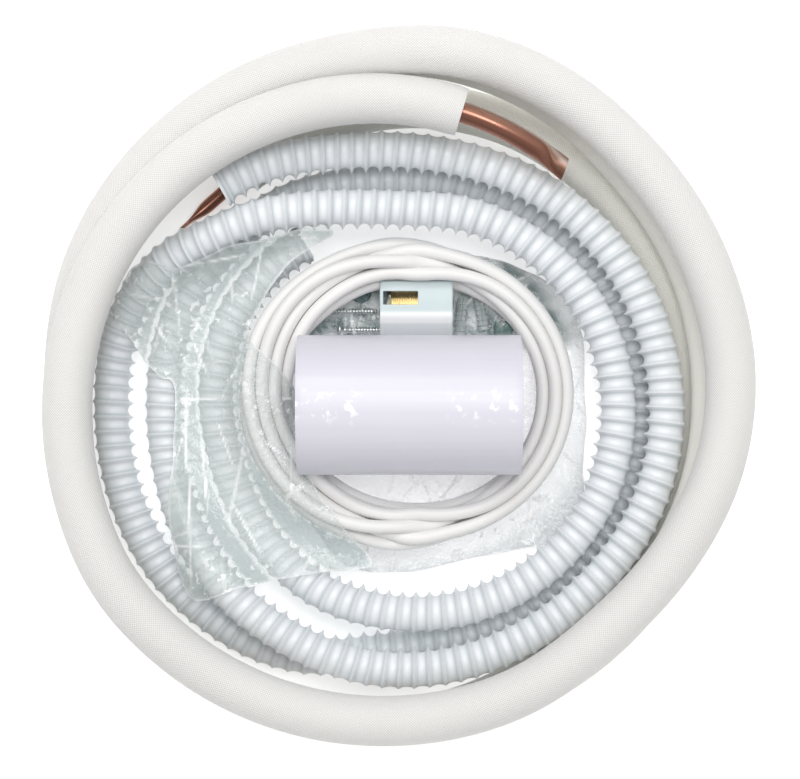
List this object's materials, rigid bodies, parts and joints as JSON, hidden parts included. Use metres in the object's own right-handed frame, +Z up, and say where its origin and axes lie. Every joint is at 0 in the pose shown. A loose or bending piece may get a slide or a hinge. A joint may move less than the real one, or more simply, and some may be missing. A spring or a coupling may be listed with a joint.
{
  "type": "coiled split air conditioner line set with accessories",
  "caption": "Coiled pair of insulated copper lines with corrugated drain hose, white cable, wrapping tape roll and a small bag of fittings.",
  "frame": {"origin": "on the floor, at the middle of the coil's bounding box", "axes": "+Z up, along the coil's axis; +X right and +Y away from the viewer as the picture shows the coil from above"},
  "size_m": [0.3174, 0.3224, 0.0645],
  "materials": {
    "gas_sleeve_foam": "white embossed polyethylene foam film",
    "liquid_sleeve_foam": "cream embossed polyethylene foam film",
    "copper": "bright annealed copper",
    "hose_plastic": "semi-gloss corrugated polyethylene",
    "cable_jacket": "satin soft PVC",
    "tape_vinyl": "smooth wound PVC tape",
    "clear_film": "clear creased polythene film",
    "card": "pale coated card, blank",
    "brass": "machined brass",
    "zinc_steel": "zinc plated steel",
    "dark_rubber": "dark grey-green rubber",
    "putty": "dark green sealing putty",
    "clear_plastic": "translucent moulded nylon"
  },
  "bodies": {
    "root": {"gas_line_foam_sleeve": "gas_sleeve_foam", "gas_line_copper_tube": "copper", "liquid_line_foam_sleeve": "liquid_sleeve_foam", "liquid_line_copper_tube": "copper", "drain_hose": "hose_plastic", "cable_coil": "cable_jacket", "wrapping_tape_roll": "tape_vinyl", "accessory_bag": "clear_film", "hardware_card_front": "card", "hardware_card_back": "card", "flare_nut": "brass", "screw_1": "zinc_steel", "screw_2": "zinc_steel", "wall_plug_1": "clear_plastic", "wall_plug_2": "clear_plastic", "rubber_cap": "dark_rubber", "sealing_putty": "putty"}
  },
  "joints": []
}
